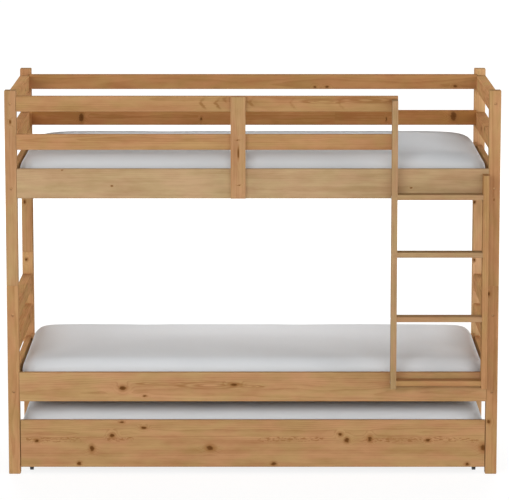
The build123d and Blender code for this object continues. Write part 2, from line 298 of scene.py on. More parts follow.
class Graph:
    """The node tree of one material, with a short call for each kind of node."""

    def __init__(self, owner):
        owner.use_nodes = True
        self.tree = owner.node_tree
        self.tree.nodes.clear()

    def put(self, socket, value):
        if isinstance(value, bpy.types.NodeSocket):
            self.tree.links.new(value, socket)
        elif socket.type == "RGBA":
            socket.default_value = (*value, 1)
        else:
            socket.default_value = value

    def node(self, kind, **inputs):
        made = self.tree.nodes.new(kind)
        for name, value in inputs.items():
            self.put(made.inputs[name.replace("_", " ")], value)
        return made

    def math(self, operation, *values):
        made = self.tree.nodes.new("ShaderNodeMath")
        made.operation = operation
        for socket, value in zip(made.inputs, values):
            self.put(socket, value)
        return made.outputs[0]

    def vector(self, operation, *values):
        made = self.tree.nodes.new("ShaderNodeVectorMath")
        made.operation = operation
        for socket, value in zip(made.inputs, values):
            self.put(socket, value)
        return made.outputs["Value" if operation in ("LENGTH", "DOT_PRODUCT") else "Vector"]

    def total(self, *values):
        result = values[0]
        for value in values[1:]:
            result = self.math("ADD", result, value)
        return result

    def split(self, vector):
        return list(self.node("ShaderNodeSeparateXYZ", Vector=vector).outputs)

    def join(self, x, y, z):
        return self.node("ShaderNodeCombineXYZ", X=x, Y=y, Z=z).outputs[0]

    def fade(self, value, start, end, low=0.0, high=1.0):
        """A smooth step from low at start to high at end."""
        made = self.tree.nodes.new("ShaderNodeMapRange")
        made.interpolation_type = "SMOOTHSTEP"
        for name, number in {
            "Value": value, "From Min": start, "From Max": end, "To Min": low, "To Max": high,
        }.items():
            self.put(made.inputs[name], number)
        return made.outputs["Result"]

    def noise(self, vector, scale, detail=2.0, roughness=0.5):
        """Noise from 0 to 1, with 0.5 in the middle."""
        made = self.node("ShaderNodeTexNoise", Vector=vector, Scale=scale, Detail=detail,
                         Roughness=roughness)
        return made.outputs["Fac"]

    def ripple(self, place, scale=1.0, detail=2.0, roughness=0.5):
        """Noise about zero."""
        return self.math("SUBTRACT", self.noise(place, scale, detail, roughness), 0.5)

    def chance(self, value):
        """A number from 0 to 1 for each whole value."""
        made = self.tree.nodes.new("ShaderNodeTexWhiteNoise")
        made.noise_dimensions = "1D"
        self.put(made.inputs["W"], value)
        return made.outputs["Value"]

    def mix(self, factor, first, second, blend="MIX"):
        made = self.tree.nodes.new("ShaderNodeMix")
        made.data_type = "RGBA"
        made.blend_type = blend
        for index, value in {0: factor, 6: first, 7: second}.items():
            self.put(made.inputs[index], value)
        return made.outputs[2]

    def bump(self, height, distance):
        return self.node("ShaderNodeBump", Height=height, Distance=distance).outputs["Normal"]

    def finish(self, **inputs):
        shader = self.node("ShaderNodeBsdfPrincipled", **inputs)
        out = self.tree.nodes.new("ShaderNodeOutputMaterial")
        self.tree.links.new(shader.outputs[0], out.inputs["Surface"])


def new_material(name):
    material = bpy.data.materials.new(name)
    return material, Graph(material)


def dress(thing, material):
    thing.data.materials.clear()
    thing.data.materials.append(material)


def longest_axes(low, high):
    """The axes 0 to 2, the longest side first."""
    return sorted(range(3), key=lambda axis: low[axis] - high[axis])


# Timber

def mark_distance(graph, place, marks):
    """Distance from the nearest mark, in that mark's own size.

    A mark is (along, across, half length, half width), measured from the board's middle."""
    nearest = None
    for along, across, half_long, half_wide in marks:
        stretch = Vector((1 / half_long, 1 / half_wide, 0.0))
        shift = Vector((-along / half_long, -across / half_wide, 0.0))
        distance = graph.vector("LENGTH", graph.vector("MULTIPLY_ADD", place, stretch, shift))
        nearest = distance if nearest is None else graph.math("MINIMUM", nearest, distance)
    return nearest


def tips(graph, along, across, marks):
    """Dark on the pointed tips of growth rings that just break the board's surface.

    A tip is (along, across, strength, half width). Its upper arm is fainter than its lower one."""
    lines = 0.0
    for start, level, strength, half_wide in marks:
        off = graph.math("SUBTRACT", across, level)
        beside = graph.math("ABSOLUTE", off)
        ahead = graph.math("MULTIPLY_ADD", beside, -tip_slant, graph.math("SUBTRACT", along, start))
        line = graph.fade(graph.math("ABSOLUTE", ahead), tip_line, 0.0)
        line = graph.math("MULTIPLY", line, graph.fade(beside, half_wide, tip_full_share * half_wide))
        upper, lower = (share * half_wide for share in tip_arm_shares)
        arm = graph.fade(off, upper, lower, tip_upper_arm * strength, strength)
        lines = graph.math("MULTIPLY_ADD", line, arm, lines)
    return lines


def pith_flecks(graph, along, across, marks):
    """Dark on the short flecks that show where the saw grazed the pith.

    A row of flecks is (along, across, half length, half width)."""
    fleck_place = graph.join(graph.math("MULTIPLY", along, fleck_scale[0]),
                             graph.math("MULTIPLY", across, fleck_scale[1]), 0.0)
    fleck = graph.fade(graph.ripple(fleck_place, roughness=noise_roughness), *fleck_turn)
    waver = graph.ripple(graph.join(along, *pith_waver_place), pith_waver_scale)
    band = 0.0
    for middle, level, half_long, half_wide in marks:
        off = graph.math("SUBTRACT", across, level)
        off = graph.math("MULTIPLY_ADD", waver, pith_waver * half_wide, off)
        line = graph.fade(graph.math("ABSOLUTE", off), half_wide, pith_full_share * half_wide)
        reach = graph.math("ABSOLUTE", graph.math("SUBTRACT", along, middle))
        ends = graph.fade(reach, half_long, pith_length_share * half_long)
        band = graph.math("MULTIPLY_ADD", line, ends, band)
    return graph.math("MULTIPLY", fleck, band)


def grain_noise(graph, place, scale, start, detail=2.0, roughness=0.5):
    """Noise about zero, drawn out along the grain."""
    along, across, deep = place
    long_scale, cross_scale = scale
    spot = graph.join(graph.math("MULTIPLY_ADD", along, long_scale, start),
                      graph.math("MULTIPLY", across, cross_scale),
                      graph.math("MULTIPLY", deep, cross_scale))
    return graph.ripple(spot, 1.0, detail, roughness)


def growth_rings(graph, place, width, start, small, chooser):
    """The number of rings from the log's pith, with rings that wander along the board."""
    along, across, deep = place
    wave = grain_noise(graph, place, wave_scale, start)
    slope = chooser.uniform(-log_slope, log_slope)
    pith_across = chooser.uniform(-pith_across_share, pith_across_share) * width
    pith_deep = chooser.choice((-1, 1)) * chooser.uniform(*pith_distance)
    from_pith = graph.join(
        graph.total(across, graph.math("MULTIPLY", wave, warp_depth), -pith_across),
        graph.total(deep, graph.math("MULTIPLY", along, slope), -pith_deep), 0.0)
    radius = graph.vector("LENGTH", from_pith)
    return graph.total(graph.math("DIVIDE", radius, ring_spacing),
                       graph.math("MULTIPLY", small, ring_waver),
                       graph.math("MULTIPLY", wave, ring_wander))


def late_share(graph, rings, grain):
    """How dark the late wood is: it darkens through each ring and then stops."""
    phase = graph.math("FRACT", rings)
    late = graph.math("MULTIPLY", graph.fade(phase, late_start, late_peak),
                      graph.fade(phase, 1.0, late_peak))
    ring = graph.chance(graph.math("FLOOR", rings))
    strength = graph.math("MULTIPLY_ADD", ring, late_depth * grain, late_least_depth * grain)
    return graph.math("MULTIPLY", late, strength)


def with_knots(graph, colour, distance):
    """Lays each knot's halo over the colour, and its heart with faint rings."""
    colour = graph.mix(graph.fade(distance, *halo_reach, 0.0, halo_strength), colour, knot_halo)
    heart = graph.fade(distance, *heart_reach)
    rings = graph.math("PINGPONG", graph.math("MULTIPLY", distance, heart_ring_count), 1.0)
    heart_colour = graph.mix(graph.math("MULTIPLY", rings, heart_ring_strength), knot_heart, knot_halo)
    return graph.mix(graph.math("MULTIPLY", heart, heart_strength), colour, heart_colour)


def with_edges(graph, colour, light, dark, long_axis, streak):
    """Darkens the end grain, which drinks more lacquer, and pales the rubbed arrises."""
    normal = graph.vector("ABSOLUTE", graph.node("ShaderNodeTexCoord").outputs["Normal"])
    facing = graph.split(normal)
    end_grain = graph.fade(facing[long_axis], *end_grain_turn, 0.0, end_grain_strength)
    colour = graph.mix(end_grain, colour, dark * end_grain_tone)
    flatness = graph.math("MAXIMUM", graph.math("MAXIMUM", facing[0], facing[1]), facing[2])
    rub = graph.math("MULTIPLY", graph.fade(flatness, *arris_turn), graph.math("ADD", streak, rub_least))
    return graph.mix(graph.math("MULTIPLY", rub, rub_strength), colour, light * rub_tone)


def pine(name, low, high, axes, seed, tone=1.0, red=0.0, grain=1.0, marks=None, splices=(),
         pitch=None):
    """Solid pine sawn from a log whose pith runs beside the board.

    axes are the board's long, wide and thin axes. grain is how strongly its rings show. marks
    holds its knots, flames, tips and pith flecks. splices are (place along, change of tone).
    pitch is the spacing of boards that share a node, so that each gets its own piece of the
    log."""
    material, graph = new_material("pine_" + name)
    chooser = random.Random(seed)
    marks = marks or {}
    middle = (low + high) / 2
    size = high - low
    position = graph.node("ShaderNodeTexCoord").outputs["Object"]
    parts = graph.split(graph.vector("SUBTRACT", position, middle))
    along, across, deep = (parts[axis] for axis in axes)
    board_along, board_across = along, across
    board_tone = chooser.uniform(1 - tone_spread, 1 + tone_spread) * tone
    if pitch:
        number = graph.math("FLOOR", graph.math("DIVIDE", across, pitch))
        across = graph.math("SUBTRACT", across, graph.math("MULTIPLY", number, pitch))
        along = graph.math("ADD", along, graph.math("MULTIPLY", number, chooser.uniform(*slat_log_step)))
    start = chooser.uniform(-log_start, log_start)
    step_tone = 0.0
    for place_along, change in splices:
        past = graph.math("GREATER_THAN", board_along, place_along)
        step_tone = graph.math("ADD", step_tone, graph.math("MULTIPLY", past, change))
        along = graph.math("ADD", along, graph.math("MULTIPLY", past, chooser.uniform(*splice_log_step)))
    place = (along, across, deep)
    small_place = graph.join(graph.math("MULTIPLY", along, small_scale[0]),
                             graph.math("MULTIPLY", across, small_scale[1]),
                             graph.math("MULTIPLY_ADD", deep, small_scale[1], start))
    small = graph.ripple(small_place, detail=noise_detail)
    rings = growth_rings(graph, place, size[axes[1]], start, small, chooser)

    # Knots and flames push the rings aside
    rough_place = graph.join(graph.math("MULTIPLY", board_along, rough_scale[0]),
                             graph.math("MULTIPLY", board_across, rough_scale[1]), start)
    rough = graph.ripple(rough_place, 1.0, noise_detail, noise_roughness)
    rough_along = graph.math("MULTIPLY_ADD", rough, mark_shift_along, board_along)
    rough_across = graph.math("MULTIPLY_ADD", small, mark_shift_across, board_across)
    flat_place = graph.join(rough_along, rough_across, 0.0)
    knots = marks.get("knots")
    if knots:
        from_knot = mark_distance(graph, flat_place, knots)
        rings = graph.math("ADD", rings, graph.fade(from_knot, *knot_push_reach, 0.0, knot_push))
    flames = marks.get("flames")
    if flames:
        from_flame = mark_distance(graph, flat_place, flames)
        rings = graph.math("MULTIPLY_ADD", graph.fade(from_flame, flame_reach, 0.0), flame_push, rings)

    late = late_share(graph, rings, grain)
    if flames:
        for loop, width, depth in flame_loops:
            off = graph.math("ABSOLUTE", graph.math("SUBTRACT", from_flame, loop))
            late = graph.math("MULTIPLY_ADD", graph.fade(off, width, 0.0), depth, late)
    for kind, draw in {"tips": tips, "pith": pith_flecks}.items():
        if kind in marks:
            late = graph.math("ADD", late, draw(graph, rough_along, rough_across, marks[kind]))
    fibre = grain_noise(graph, place, fibre_scale, start, noise_detail, noise_roughness)
    streak = grain_noise(graph, place, streak_scale, start)
    mottle = grain_noise(graph, place, mottle_scale, start, noise_detail)
    darkness = graph.total(late, graph.math("MULTIPLY", streak, streak_depth),
                           graph.math("MULTIPLY", mottle, mottle_depth),
                           graph.math("MULTIPLY", fibre, fibre_depth), step_tone, plain_depth)
    darkness = graph.math("MINIMUM", graph.math("MAXIMUM", darkness, 0.0), most_depth)

    light = Vector(early_wood) * board_tone
    dark = Vector(late_wood) * board_tone
    for channel, share in enumerate(redness_shares):
        light[channel] *= 1 - share * red
        dark[channel] *= 1 - share * red
    colour = graph.mix(darkness, light, dark)
    # Patches that turn a little yellower or pinker
    hue = graph.fade(grain_noise(graph, place, hue_scale, start), *hue_turn)
    colour = graph.mix(grain, colour, graph.mix(hue, yellow_patch, pink_patch), "MULTIPLY")
    if knots:
        colour = with_knots(graph, colour, from_knot)
    colour = with_edges(graph, colour, light, dark, axes[0], streak)

    roughness = graph.total(graph.math("MULTIPLY", fibre, fibre_roughness),
                            graph.math("MULTIPLY", late, late_roughness), timber_roughness)
    height = graph.total(graph.math("MULTIPLY", fibre, fibre_relief),
                         graph.math("MULTIPLY", late, late_relief))
    graph.finish(Base_Color=colour, Roughness=roughness, Specular_IOR_Level=0.0,
                 Normal=graph.bump(height, timber_relief))
    return material


# Marks on the front faces by node, read off the photograph as (X, Z, half length, half width).
# The third number of a tip is its strength.
seen_knots = {
    "lower_front_side_rail": [(-0.531, 0.359, 0.013, 0.009), (-0.440, 0.327, 0.007, 0.0035),
                              (-0.076, 0.373, 0.016, 0.006)],
    "trundle_front_panel": [(-0.884, 0.140, 0.009, 0.006), (-0.712, 0.044, 0.008, 0.008),
                            (-0.659, 0.107, 0.010, 0.013), (-0.576, 0.161, 0.010, 0.008),
                            (-0.535, 0.218, 0.010, 0.004), (-0.447, 0.193, 0.010, 0.005),
                            (-0.175, 0.109, 0.015, 0.011), (0.085, 0.042, 0.010, 0.008),
                            (0.359, 0.165, 0.009, 0.006), (0.385, 0.142, 0.009, 0.010),
                            (0.480, 0.147, 0.008, 0.011), (0.718, 0.141, 0.009, 0.006),
                            (0.879, 0.042, 0.008, 0.006), (0.944, 0.111, 0.012, 0.014)],
    "front_guard_rail_top": [(0.565, 1.531, 0.004, 0.004)],
    "upper_front_side_rail": [(-0.570, 1.193, 0.005, 0.003), (-0.770, 1.258, 0.004, 0.002),
                              (0.640, 1.185, 0.004, 0.0025)],
    "guard_stile": [(-0.059, 1.330, 0.021, 0.0026), (-0.061, 1.383, 0.0018, 0.006),
                    (-0.057, 1.200, 0.0014, 0.006)],
    "back_guard_rail_lower": [(-0.7370, 1.373, 0.0100, 0.020), (-0.222, 1.366, 0.004, 0.008),
                              (0.573, 1.366, 0.003, 0.009), (0.863, 1.378, 0.013, 0.021)],
    "back_guard_rail_top": [(0.267, 1.504, 0.006, 0.005), (0.319, 1.504, 0.007, 0.005),
                            (0.868, 1.508, 0.007, 0.005)],
    "front_left_upper_post": [(-0.977, 1.454, 0.008, 0.004)],
    "front_right_lower_post": [(0.960, 0.750, 0.008, 0.006), (0.966, 0.219, 0.007, 0.006)],
    "front_right_upper_post": [(0.976, 1.136, 0.003, 0.002)],
    "back_left_upper_post": [(-0.986, 1.004, 0.008, 0.005)],
    "back_right_upper_post": [(0.959, 1.002, 0.007, 0.005)],
    "back_left_lower_post": [(-0.983, 0.750, 0.007, 0.005)],
    "back_right_lower_post": [(0.960, 0.749, 0.007, 0.005)],
}
seen_flames = {
    "lower_front_side_rail": [(-0.363, 0.378, 0.100, 0.0065), (-0.173, 0.371, 0.124, 0.0130),
                              (-0.020, 0.366, 0.060, 0.0060)],
    "front_guard_rail_top": [(0.285, 1.536, 0.080, 0.009), (0.455, 1.542, 0.110, 0.010)],
}
seen_tips = {
    "front_guard_rail_top": [(-0.212, 1.532, 0.9, 0.034), (-0.151, 1.530, 1.1, 0.030),
                             (-0.116, 1.545, 0.6, 0.020), (-0.014, 1.534, 0.8, 0.024),
                             (0.150, 1.532, 0.4, 0.036), (0.345, 1.530, 0.4, 0.034)],
}
seen_pith = {
    "trundle_front_panel": [(-0.820, 0.143, 0.125, 0.013), (-0.540, 0.146, 0.060, 0.011),
                            (0.160, 0.146, 0.145, 0.013), (0.685, 0.142, 0.265, 0.013)],
}

# Splices along a rail: (X, change of tone past it)
seen_splices = {
    "back_guard_rail_lower": [(-0.950, 0.66), (-0.7275, -0.33), (-0.060, 0.15), (0.353, 0.10),
                              (0.600, -0.14), (0.874, 0.43)],
}

# How strongly the rings of a photographed board show, where that isn't 1
seen_grain = {
    "upper_front_side_rail": 0.55,
}

# How pale and how red each photographed board is painted: (tone, red). Beside each board's own
# tone these hold painted light: the back posts are painted paler against the shade that falls on
# them, and the lower back guard rail redder for the warm light the wood around it bounces onto it.
seen_tones_with_painted_light = {
    "front_guard_rail_top": (0.93, 0.25),
    "front_guard_rail_lower": (0.98, 0.2),
    "back_guard_rail_top": (0.94, 1.0),
    "back_guard_rail_lower": (1.06, 1.3),
    "guard_stile": (0.99, -0.6),
    "upper_front_side_rail": (1.01, -2.05),
    "lower_front_side_rail": (1.04, -0.3),
    "trundle_front_panel": (0.99, -0.1),
    "front_left_lower_post": (1.02, 0.1),
    "front_right_lower_post": (1.02, 0.1),
    "front_left_upper_post": (0.99, -0.6),
    "front_right_upper_post": (1.04, 0.0),
    "back_left_upper_post": (1.03, 0.1),
    "back_right_upper_post": (1.30, -0.7),
    "back_left_lower_post": (1.20, 0.0),
    "back_right_lower_post": (1.40, -1.3),
    "ladder_left_upright": (0.90, -1.4),
    "ladder_right_upright": (0.95, 0.3),
    "ladder_tread_1": (0.97, 0.4),
    "ladder_tread_2": (0.91, -1.1),
    "ladder_tread_3": (0.87, -1.5),
    "ladder_tread_4": (0.90, -1.2),
}


def board_marks(name, middle, axes):
    """The photographed marks of a board by kind, placed from its middle along its own axes."""
    found = {}
    tables = {"knots": seen_knots, "flames": seen_flames, "tips": seen_tips, "pith": seen_pith}
    for kind, table in tables.items():
        for x, z, half_long, half_wide in table.get(name, ()):
            place = Vector((x, middle[1], z)) - middle
            found.setdefault(kind, []).append((place[axes[0]], place[axes[1]], half_long, half_wide))
    return found


def own_knots(size, axes, chooser):
    """A few knots for a board that the photograph doesn't show."""
    half_long = size[axes[0]] / 2
    half_wide = size[axes[1]] / 2
    least, most = knot_radius
    along_share, across_share = knot_spread_shares
    knots = []
    for _ in range(round(chooser.uniform(*knots_per_metre) * size[axes[0]])):
        radius = chooser.uniform(least, min(most, knot_width_share * half_wide))
        knots.append((chooser.uniform(-along_share, along_share) * half_long,
                      chooser.uniform(-across_share, across_share) * half_wide,
                      knot_length_share * radius, radius))
    return knots


def dress_board(name, seed):
    chooser = random.Random(seed + board_seed)
    low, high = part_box(name)
    size = high - low
    middle = (low + high) / 2
    axes = longest_axes(low, high)
    if name.endswith("_post"):
        axes = [2, 0, 1]
    # Tone and red from this table hold painted light as well as the board's own tone
    if name in seen_tones_with_painted_light:
        tone, red = seen_tones_with_painted_light[name]
        marks = board_marks(name, middle, axes)
    else:
        tone, red = chooser.uniform(*hidden_tones), chooser.uniform(*hidden_reds)
        marks = {"knots": own_knots(size, axes, chooser)}
        # Painted light: end boards are painted paler for the light on their inner faces
        if "_end_" in name:
            tone *= end_board_painted_light
    splices = [(x - middle[0], change) for x, change in seen_splices.get(name, ())]
    grain = seen_grain.get(name, 1.0)
    dress(nodes[name], pine(name, low, high, axes, seed, tone, red, grain, marks, splices))


def dress_slats(name, seed):
    """The slats of a deck share a node and lie across the bed."""
    low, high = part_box(name)
    boards = loose_boxes(nodes[name])
    starts = sorted(board_low[0] for board_low, _ in boards)
    pitch = starts[1] - starts[0]
    dress(nodes[name], pine(name, low, high, [1, 0, 2], seed, *slat_look, pitch=pitch))


# Metal, plastic and cloth

def plated_steel(name, bright, dull, smoothest):
    """Plated steel that clouds from bright to dull."""
    material, graph = new_material(name)
    position = graph.node("ShaderNodeTexCoord").outputs["Object"]
    cloud = graph.noise(position, steel_cloud_scale, noise_detail)
    grain = graph.noise(position, steel_grain_scale)
    colour = graph.mix(cloud, bright, dull)
    roughness = graph.math("MULTIPLY_ADD", cloud, steel_roughness_spread, smoothest)
    graph.finish(Base_Color=colour, Metallic=1.0, Roughness=roughness,
                 Normal=graph.bump(grain, steel_relief))
    return material


def black_plastic():
    """Moulded plastic with a fine grain and a little dust."""
    material, graph = new_material("black_moulded_plastic")
    position = graph.node("ShaderNodeTexCoord").outputs["Object"]
    grain = graph.noise(position, plastic_grain_scale, noise_detail, noise_roughness)
    dust = graph.fade(graph.noise(position, plastic_dust_scale, noise_detail), *plastic_dust_turn)
    colour = graph.mix(dust, clean_plastic, dusty_plastic)
    roughness = graph.math("MULTIPLY_ADD", grain, plastic_roughness_spread, plastic_roughness)
    graph.finish(Base_Color=colour, Roughness=roughness, Normal=graph.bump(grain, plastic_relief))
    return material


def cover_cloth(name, low, high, tone):
    """A plain white knitted cover with a closing seam low on its sides."""
    material, graph = new_material("cover_" + name)
    position = graph.node("ShaderNodeTexCoord").outputs["Object"]
    parts = graph.split(position)
    turn = 2 * math.pi
    knit = graph.total(*(graph.math("SINE", graph.math("MULTIPLY", part, turn / cover_knit))
                         for part in parts))
    yarn = graph.noise(position, yarn_scale, noise_detail, yarn_roughness)
    seam_level = low[2] + seam_height_share * (high[2] - low[2])
    from_seam = graph.math("ABSOLUTE", graph.math("SUBTRACT", parts[2], seam_level))
    seam = graph.fade(from_seam, *seam_edge)
    around = graph.math("MULTIPLY", graph.math("ADD", parts[0], parts[1]), turn / stitch_pitch)
    stitch = graph.math("MULTIPLY", graph.fade(from_seam, *stitch_edge), graph.math("SINE", around))
    height = graph.total(graph.math("MULTIPLY", knit, knit_relief),
                         graph.math("MULTIPLY", yarn, yarn_relief),
                         graph.math("MULTIPLY", seam, seam_relief),
                         graph.math("MULTIPLY", stitch, stitch_relief))
    # Soft broad patches of painted shade across the cover
    shade = graph.noise(position, cloth_shade_scale)
    # tone pales or darkens the one white cloth for each mattress: painted light and shade
    colour = graph.mix(shade, Vector(pale_cloth) * tone, Vector(shaded_cloth) * tone)
    colour = graph.mix(graph.math("MULTIPLY", seam, seam_strength), colour, seam_colour)
    graph.finish(Base_Color=colour, Roughness=cloth_roughness, Specular_IOR_Level=cloth_gloss,
                 Sheen_Weight=cloth_sheen, Sheen_Roughness=cloth_sheen_roughness,
                 Normal=graph.bump(height, cloth_relief))
    return material


# Mattresses

def add_object(name, mesh):
    thing = bpy.data.objects.new(name, mesh)
    bpy.context.scene.collection.objects.link(thing)
    return thing


def evaluated_mesh(thing):
    depsgraph = bpy.context.evaluated_depsgraph_get()
    return bpy.data.meshes.new_from_object(thing.evaluated_get(depsgraph))


def remeshed(node):
    """An even, welded mesh over a CAD solid, drawn in a little."""
    low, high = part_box(node)
    middle = (low + high) / 2
    half = (high - low) / 2
    welded = bmesh.new()
    welded.from_mesh(nodes[node].data)
    bmesh.ops.remove_doubles(welded, verts=welded.verts, dist=weld_distance)
    for vert in welded.verts:
        for axis in range(3):
            vert.co[axis] = middle[axis] + (vert.co[axis] - middle[axis]) * (1 - cover_shrink / half[axis])
    mesh = bpy.data.meshes.new("cover_blank")
    welded.to_mesh(mesh)
    welded.free()
    blank = add_object("cover_blank", mesh)
    voxels = blank.modifiers.new("voxels", "REMESH")
    voxels.mode = "VOXEL"
    voxels.voxel_size = cover_voxel
    even = blank.modifiers.new("even", "SMOOTH")
    even.iterations = cover_smoothings
    blank.data = evaluated_mesh(blank)
    blank.modifiers.clear()
    return blank


def puff(blank):
    """Inflates the cover for a few frames, as the foam inside fills it."""
    cloth = blank.modifiers.new("foam", "CLOTH")
    cloth.point_cache.frame_end = cover_frames
    for name, value in foam_settings.items():
        setattr(cloth.settings, name, value)
    cloth.settings.effector_weights.gravity = 0
    for number in range(1, cover_frames + 1):
        bpy.context.scene.frame_set(number)
    swollen = evaluated_mesh(blank)
    blank.modifiers.clear()
    for vert, moved in zip(blank.data.vertices, swollen.vertices):
        move = moved.co - vert.co
        if move.length > 0:
            vert.co += move.normalized() * cover_swell * math.tanh(move.length / cover_swell)
    bpy.context.scene.frame_set(1)


def mattress_form():
    """The shared form of the three mattresses, about its own middle."""
    low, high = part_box("lower_mattress")
    blank = remeshed("lower_mattress")
    puff(blank)
    middle = (low + high) / 2
    half = (high - low) / 2
    for vert in blank.data.vertices:
        vert.co -= middle
        vert.co[2] = max(vert.co[2], -half[2])
    # The foam fills the cover out to its ends and sides again
    for axis, swell in enumerate((cover_end_swell, cover_side_swell)):
        reach = max(abs(vert.co[axis]) for vert in blank.data.vertices)
        for vert in blank.data.vertices:
            vert.co[axis] *= (half[axis] + swell) / reach
    mesh = blank.data
    bpy.data.objects.remove(blank)
    return mesh


def add_mattress(node, form, body, turned, loft, ease, tone, front, back):
    """One mattress on its deck, between the boards front and back."""
    low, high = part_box(node)
    mesh = form.copy()
    turn = Matrix.Rotation(math.pi if turned else 0, 4, "Z")
    mesh.transform(Matrix.Translation((low + high) / 2) @ turn)
    front_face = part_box(front)[1][1] + cover_play
    back_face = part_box(back)[0][1] - cover_play
    slope_start = high[0] - cover_end_slope
    for vert in mesh.vertices:
        vert.co[1] = min(max(vert.co[1], front_face), back_face)
        slope = max(abs(vert.co[0]) - slope_start, 0) / cover_end_slope
        height = (vert.co[2] - low[2]) * loft * (1 - ease * slope ** 2)
        dent = cover_dent * min(noise.noise(vert.co * cover_dent_scale), 0)
        vert.co[2] = low[2] + height + dent * height / (high[2] - low[2])
    mesh.shade_smooth()
    cover = add_object(node + "_cover", mesh)
    finer = cover.modifiers.new("finer", "SUBSURF")
    finer.levels = 1
    finer.render_levels = 1
    dress(cover, cover_cloth(node, low, high, tone))
    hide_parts(node)
    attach(cover, body)


# Fasteners

def loose_boxes(thing):
    """(lowest corner, highest corner) of each separate solid in a node."""
    welded = bmesh.new()
    welded.from_mesh(thing.data)
    bmesh.ops.remove_doubles(welded, verts=welded.verts, dist=weld_distance)
    left = set(welded.verts)
    found = []
    while left:
        stack = [left.pop()]
        points = []
        while stack:
            vert = stack.pop()
            points.append(vert.co.copy())
            for edge in vert.link_edges:
                other = edge.other_vert(vert)
                if other in left:
                    left.remove(other)
                    stack.append(other)
        found.append((Vector(map(min, *points)), Vector(map(max, *points))))
    welded.free()
    return found


def lathe(bm, seat, rings):
    """A closed skin through rings of (height, radius by angle), placed by the matrix seat."""
    loops = []
    for height, radius_at in rings:
        loop = []
        for number in range(sides_round):
            angle = 2 * math.pi * number / sides_round
            radius = radius_at(angle)
            spot = Vector((radius * math.cos(angle), radius * math.sin(angle), height))
            loop.append(bm.verts.new(seat @ spot))
        loops.append(loop)
    for lower, upper in zip(loops, loops[1:]):
        for number in range(sides_round):
            after = (number + 1) % sides_round
            bm.faces.new((lower[number], lower[after], upper[after], upper[number]))
    bm.faces.new(list(reversed(loops[0])))
    bm.faces.new(loops[-1])


def round_at(radius):
    return lambda angle: radius


def hexagon_at(flat):
    """A hexagon's radius by angle, where flat is half its width across flats."""
    return lambda angle: flat / math.cos((angle % (math.pi / 3)) - math.pi / 6)


def cross_at(inner, outer):
    """A cross recess's radius by angle, from its waist to its tips."""
    return lambda angle: inner + (outer - inner) * abs(math.cos(2 * angle)) ** cross_sharpness


def seat_matrix(place, outward):
    """Places a fastener with its axis along outward and the middle of its face at place."""
    turn = Vector((0, 0, 1)).rotation_difference(Vector(outward)).to_matrix().to_4x4()
    return Matrix.Translation(place) @ turn


def add_bolt(bm, seat, head, head_height, shank, length):
    """A button head bolt with a hexagon socket; seat puts the head's face at height zero."""
    tip_length, tip_radius = (share * shank for share in bolt_tip_shares)
    end_depth_share, end_radius_share = bolt_socket_end_shares
    lathe(bm, seat, [
        (-length, round_at(tip_radius)),
        (-length + tip_length, round_at(shank)),
        (-head_height, round_at(shank)),
        *((-depth * head_height, round_at(reach * head)) for depth, reach in bolt_head_shares),
        (0.0, hexagon_at(bolt_socket)),
        (-bolt_socket_share * head_height, hexagon_at(bolt_socket)),
        (-end_depth_share * head_height, round_at(end_radius_share * bolt_socket)),
    ])


def add_screw(bm, seat, radius):
    """A countersunk screw head with a cross recess, its face a hair above the wood."""
    lathe(bm, seat, [
        *((rise * radius, round_at(reach * radius)) for rise, reach in screw_round_shares),
        *((rise * radius, cross_at(waist * radius, tip * radius))
          for rise, waist, tip in screw_cross_shares),
    ])


def finish_fasteners(name, bm, body, material):
    mesh = bpy.data.meshes.new(name)
    bmesh.ops.recalc_face_normals(bm, faces=bm.faces)
    bm.to_mesh(mesh)
    bm.free()
    thing = add_object(name, mesh)
    mesh.shade_smooth()
    mesh.set_sharp_from_angle(angle=sharp_angle)
    dress(thing, material)
    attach(thing, body)
    return thing


def head_direction(node, low, high, axis):
    """+1 or -1: the way along axis that a bolt's wide head faces."""
    middle = (low + high) / 2
    spread = (high - low) / 2
    side = [other for other in range(3) if other != axis][0]
    wide = [vert.co[axis] - middle[axis] for vert in nodes[node].data.vertices
            if all(low[i] - box_slack <= vert.co[i] <= high[i] + box_slack for i in range(3))
            and abs(vert.co[side] - middle[side]) > head_edge_share * spread[side]]
    return 1 if sum(wide) > 0 else -1


def add_bolts(node, material):
    bm = bmesh.new()
    for low, high in loose_boxes(nodes[node]):
        axis, side, _ = longest_axes(low, high)
        way = head_direction(node, low, high, axis)
        middle = (low + high) / 2
        outward = Vector((0, 0, 0))
        outward[axis] = way
        face = middle.copy()
        face[axis] = high[axis] if way > 0 else low[axis]
        head = (high[side] - low[side]) / 2
        add_bolt(bm, seat_matrix(face, outward), head, bolt_head_height_share * head,
                 bolt_shank_share * head, high[axis] - low[axis])
    bolts = finish_fasteners(node + "_detailed", bm, "bed_frame", material)
    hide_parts(node)


def span(low, high, count, margin):
    """count places from low to high, the outer ones a margin inside."""
    step = (high - low - 2 * margin) / (count - 1)
    return [low + margin + number * step for number in range(count)]


